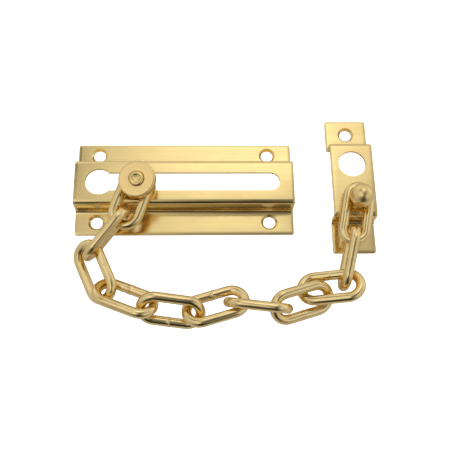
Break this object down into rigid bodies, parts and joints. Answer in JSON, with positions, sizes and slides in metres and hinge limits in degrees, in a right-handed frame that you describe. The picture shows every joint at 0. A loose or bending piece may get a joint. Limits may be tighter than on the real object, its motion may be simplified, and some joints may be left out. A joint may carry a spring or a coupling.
{
  "type": "door chain guard",
  "caption": "Door chain guard: slotted track plate, sliding stud with a round disc, welded chain and a raised keeper plate with a ball-headed stud.",
  "frame": {"origin": "middle of the whole guard's footprint, at the level of the plates' backs", "axes": "+X along the slot from the keyhole to its narrow end, +Y across the track away from the chain, +Z out of the door face"},
  "size_m": [0.1176, 0.0877, 0.0212],
  "materials": {
    "plate_brass": "brass-plated pressed sheet, satin polished along its length",
    "chain_brass": "brass-plated wire, polished",
    "stud_brass": "turned and polished brass plating",
    "disc_brass": "turned disc, satin polished brass plating"
  },
  "bodies": {
    "track": {"track_plate": "plate_brass"},
    "slider": {"slider_stud": "stud_brass", "slider_disc": "disc_brass"},
    "link_01": {"chain_link_01": "chain_brass"},
    "link_02": {"chain_link_02": "chain_brass"},
    "link_03": {"chain_link_03": "chain_brass"},
    "link_04": {"chain_link_04": "chain_brass"},
    "link_05": {"chain_link_05": "chain_brass"},
    "link_06": {"chain_link_06": "chain_brass"},
    "link_07": {"chain_link_07": "chain_brass"},
    "link_08": {"chain_link_08": "chain_brass"},
    "link_09": {"chain_link_09": "chain_brass"},
    "link_10": {"chain_link_10": "chain_brass"},
    "link_11": {"chain_link_11": "chain_brass"},
    "keeper": {"keeper_plate": "plate_brass", "keeper_stud": "stud_brass"}
  },
  "joints": [
    {"name": "slider_slide", "type": "slide", "parent": "track", "child": "slider", "axis": [1, 0, 0], "range_m": [-0.0146, 0.0498]},
    {"name": "link_01_swivel", "type": "hinge", "parent": "slider", "child": "link_01", "pos_m": [-0.03289, 0.01179, 0.01095], "axis": [0.1198, 0.1369, -0.9833], "range_deg": [-11, 7]},
    {"name": "link_02_swing", "type": "hinge", "parent": "link_01", "child": "link_02", "pos_m": [-0.03813, 0.0001, 0.01199], "axis": [-0.0387, -0.283, 0.9583], "range_deg": [-40, 45]},
    {"name": "link_03_swing", "type": "hinge", "parent": "link_02", "child": "link_03", "pos_m": [-0.05227, -0.01616, 0.00662], "axis": [0.0387, 0.283, -0.9583], "range_deg": [-28, 14]},
    {"name": "link_04_swing", "type": "hinge", "parent": "link_03", "child": "link_04", "pos_m": [-0.04499, -0.03187, 0.00476], "axis": [-0.7565, -0.3149, -0.5732], "range_deg": [-3, 45]},
    {"name": "link_05_swing", "type": "hinge", "parent": "link_04", "child": "link_05", "pos_m": [-0.0275, -0.03652, 0.00777], "axis": [0.3605, 0.769, -0.5279], "range_deg": [-28, 45]},
    {"name": "link_06_swing", "type": "hinge", "parent": "link_05", "child": "link_06", "pos_m": [-0.00992, -0.03833, 0.00523], "axis": [0.1473, 0.6943, 0.7044], "range_deg": [-45, 8]},
    {"name": "link_07_swing", "type": "hinge", "parent": "link_06", "child": "link_07", "pos_m": [0.00642, -0.03247, 0.00625], "axis": [0.259, -0.9033, 0.342], "range_deg": [-26, 5]},
    {"name": "link_08_swing", "type": "hinge", "parent": "link_07", "child": "link_08", "pos_m": [0.01742, -0.03762, 0.00764], "axis": [-0.1781, 0.824, 0.5379], "range_deg": [-35, 45]},
    {"name": "link_09_swing", "type": "hinge", "parent": "link_08", "child": "link_09", "pos_m": [0.03828, -0.03084, 0.00416], "axis": [-0.1781, 0.824, 0.5379], "range_deg": [-45, 1.5]},
    {"name": "link_10_swing", "type": "hinge", "parent": "link_09", "child": "link_10", "pos_m": [0.04382, -0.02827, 0.0061], "axis": [-0.0166, -0.2269, 0.9738], "range_deg": [-28, 12]},
    {"name": "link_11_swing", "type": "hinge", "parent": "link_10", "child": "link_11", "pos_m": [0.04868, -0.00719, 0.0111], "axis": [-0.0166, -0.2269, 0.9738], "range_deg": [-45, 18]},
    {"name": "keeper_swivel", "type": "hinge", "parent": "link_11", "child": "keeper", "pos_m": [0.0513, 0.00442, 0.011], "axis": [0, 0, 1], "range_deg": [-16, 24]}
  ]
}
